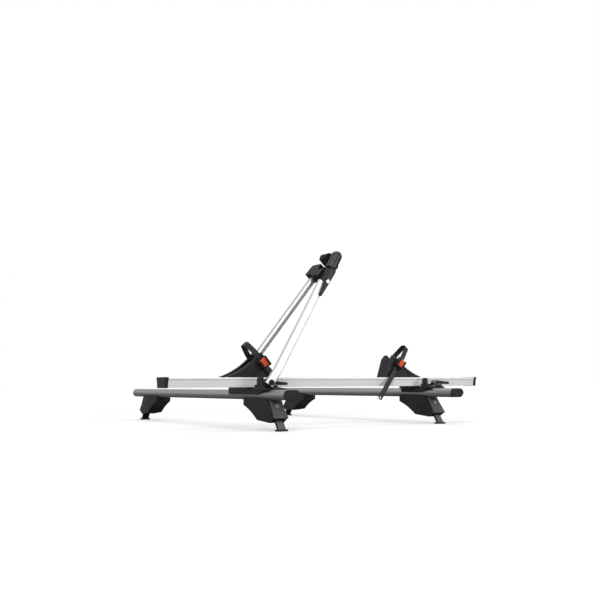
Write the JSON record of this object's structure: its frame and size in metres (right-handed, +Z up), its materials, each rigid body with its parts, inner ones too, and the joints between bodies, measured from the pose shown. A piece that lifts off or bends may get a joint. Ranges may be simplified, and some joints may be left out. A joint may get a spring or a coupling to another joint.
{
  "type": "roof mounted bike carrier",
  "caption": "Roof bars on clamp feet carrying a wheel rail with strapped wheel chocks and a folding A-shaped arm whose screw jaw grips a bicycle frame tube.",
  "frame": {"origin": "centre of the carrier's footprint, at the underside of the foot pads", "axes": "+X along the wheel rail towards the car's rear, +Y along the roof bars away from the wheel rail's side, +Z up"},
  "size_m": [1.352, 1.304, 0.6286],
  "materials": {
    "rail_aluminium": "bright satin anodised, drawn lengthwise",
    "bar_aluminium": "dark silver anodised",
    "leg_aluminium": "bright anodised tube",
    "black_plastic": "fine-grained moulded black nylon",
    "cap_plastic": "smooth moulded black",
    "grey_plastic": "satin dark grey moulding",
    "orange_plastic": "orange-red moulded lever",
    "strap_plastic": "dark toothed flexible strap",
    "rubber": "soft black rubber",
    "strap_rubber": "fluted rubber over a steel band",
    "nylon": "pale bearing nylon",
    "steel": "zinc plated steel",
    "lock_metal": "bright lock barrel face"
  },
  "bodies": {
    "roof_base": {"wheel_rail": "rail_aluminium", "rail_end_caps": "cap_plastic", "front_base_bracket": "black_plastic", "rear_base_bracket": "black_plastic", "rail_t_bolts": "steel", "bracket_t_bolts": "steel", "bracket_cam_bolts": "steel", "pivot_bolts": "steel", "front_roof_bar": "bar_aluminium", "rear_roof_bar": "bar_aluminium", "front_bar_strips": "rubber", "rear_bar_strips": "rubber", "bar_end_caps": "cap_plastic", "front_near_foot": "black_plastic", "front_far_foot": "black_plastic", "rear_near_foot": "black_plastic", "rear_far_foot": "black_plastic", "foot_legs": "strap_rubber", "foot_pads": "rubber", "foot_tension_bolts": "steel"},
    "support_arm": {"near_leg": "leg_aluminium", "far_leg": "leg_aluminium", "leg_end_plugs": "cap_plastic", "pivot_bushes": "nylon", "clamp_head_body": "black_plastic", "fixed_jaw": "black_plastic", "fixed_jaw_pad": "rubber", "clamp_head_bolts": "steel"},
    "tightening_knob": {"clamp_knob": "black_plastic", "clamp_screw": "steel"},
    "upper_jaw": {"moving_jaw": "black_plastic", "moving_jaw_pad": "rubber"},
    "head_lock": {"clamp_lock": "lock_metal"},
    "front_cam": {"front_cam_lever": "black_plastic"},
    "rear_cam": {"rear_cam_lever": "black_plastic"},
    "front_holder": {"front_wheel_holder": "black_plastic", "front_holder_clamp_plate": "steel", "front_holder_bolts": "steel", "front_wheel_strap": "strap_plastic", "front_strap_buckle": "black_plastic", "front_strap_pins": "steel"},
    "front_release_lever": {"front_strap_lever": "orange_plastic"},
    "rear_holder": {"rear_wheel_holder": "black_plastic", "rear_holder_clamp_plate": "steel", "rear_holder_bolts": "steel", "rear_wheel_strap": "strap_plastic", "rear_strap_buckle": "black_plastic", "rear_strap_pins": "steel"},
    "rear_release_lever": {"rear_strap_lever": "orange_plastic"},
    "front_near_cover": {"front_near_foot_cover": "grey_plastic"},
    "front_near_lock": {"front_near_foot_lock": "lock_metal"},
    "front_far_cover": {"front_far_foot_cover": "grey_plastic"},
    "front_far_lock": {"front_far_foot_lock": "lock_metal"},
    "rear_near_cover": {"rear_near_foot_cover": "grey_plastic"},
    "rear_near_lock": {"rear_near_foot_lock": "lock_metal"},
    "rear_far_cover": {"rear_far_foot_cover": "grey_plastic"},
    "rear_far_lock": {"rear_far_foot_lock": "lock_metal"}
  },
  "joints": [
    {"name": "arm_fold", "type": "hinge", "parent": "roof_base", "child": "support_arm", "pos_m": [-0.336, -0.43, 0.157], "axis": [0, 1, 0], "range_deg": [-40, 38]},
    {"name": "knob_turn", "type": "hinge", "parent": "support_arm", "child": "tightening_knob", "pos_m": [-0.03014, -0.477, 0.59243], "axis": [0.5, 0, 0.866], "range_deg": [0, 1800]},
    {"name": "jaw_slide", "type": "slide", "parent": "support_arm", "child": "upper_jaw", "axis": [0.5, 0, 0.866], "range_m": [0, 0.0301]},
    {"name": "head_lock_turn", "type": "hinge", "parent": "support_arm", "child": "head_lock", "pos_m": [-0.07048, -0.494, 0.51376], "axis": [0, -1, 0], "range_deg": [0, 90]},
    {"name": "front_cam_turn", "type": "hinge", "parent": "roof_base", "child": "front_cam", "pos_m": [-0.32356, -0.502, 0.1545], "axis": [0, -1, 0], "range_deg": [0, 110]},
    {"name": "rear_cam_turn", "type": "hinge", "parent": "roof_base", "child": "rear_cam", "pos_m": [0.41144, -0.502, 0.1545], "axis": [0, -1, 0], "range_deg": [0, 110]},
    {"name": "front_holder_slide", "type": "slide", "parent": "roof_base", "child": "front_holder", "axis": [1, 0, 0], "range_m": [-0.1, 0.12]},
    {"name": "rear_holder_slide", "type": "slide", "parent": "roof_base", "child": "rear_holder", "axis": [1, 0, 0], "range_m": [-0.12, 0.1]},
    {"name": "front_lever_turn", "type": "hinge", "parent": "front_holder", "child": "front_release_lever", "pos_m": [-0.32629, -0.4718, 0.23284], "axis": [-0.7615, 0, -0.6481], "range_deg": [0, 50]},
    {"name": "rear_lever_turn", "type": "hinge", "parent": "rear_holder", "child": "rear_release_lever", "pos_m": [0.2847, -0.4718, 0.23593], "axis": [-0.7524, 0, 0.6587], "range_deg": [0, 50]},
    {"name": "front_near_cover_slide", "type": "slide", "parent": "roof_base", "child": "front_near_cover", "axis": [0, -1, 0], "range_m": [0, 0.03]},
    {"name": "front_near_lock_turn", "type": "hinge", "parent": "front_near_cover", "child": "front_near_lock", "pos_m": [-0.321, -0.55885, 0.081], "axis": [0, -0.8081, 0.589], "range_deg": [0, 90]},
    {"name": "front_far_cover_slide", "type": "slide", "parent": "roof_base", "child": "front_far_cover", "axis": [0, 1, 0], "range_m": [0, 0.03]},
    {"name": "front_far_lock_turn", "type": "hinge", "parent": "front_far_cover", "child": "front_far_lock", "pos_m": [-0.321, 0.53485, 0.081], "axis": [0, 0.8081, 0.589], "range_deg": [0, 90]},
    {"name": "rear_near_cover_slide", "type": "slide", "parent": "roof_base", "child": "rear_near_cover", "axis": [0, -1, 0], "range_m": [0, 0.03]},
    {"name": "rear_near_lock_turn", "type": "hinge", "parent": "rear_near_cover", "child": "rear_near_lock", "pos_m": [0.414, -0.50485, 0.081], "axis": [0, -0.8081, 0.589], "range_deg": [0, 90]},
    {"name": "rear_far_cover_slide", "type": "slide", "parent": "roof_base", "child": "rear_far_cover", "axis": [0, 1, 0], "range_m": [0, 0.03]},
    {"name": "rear_far_lock_turn", "type": "hinge", "parent": "rear_far_cover", "child": "rear_far_lock", "pos_m": [0.414, 0.52885, 0.081], "axis": [0, 0.8081, 0.589], "range_deg": [0, 90]}
  ],
  "couplings": [
    {"joint": "jaw_slide", "follows": "knob_turn", "m_per_rad": 0.00095493}
  ]
}
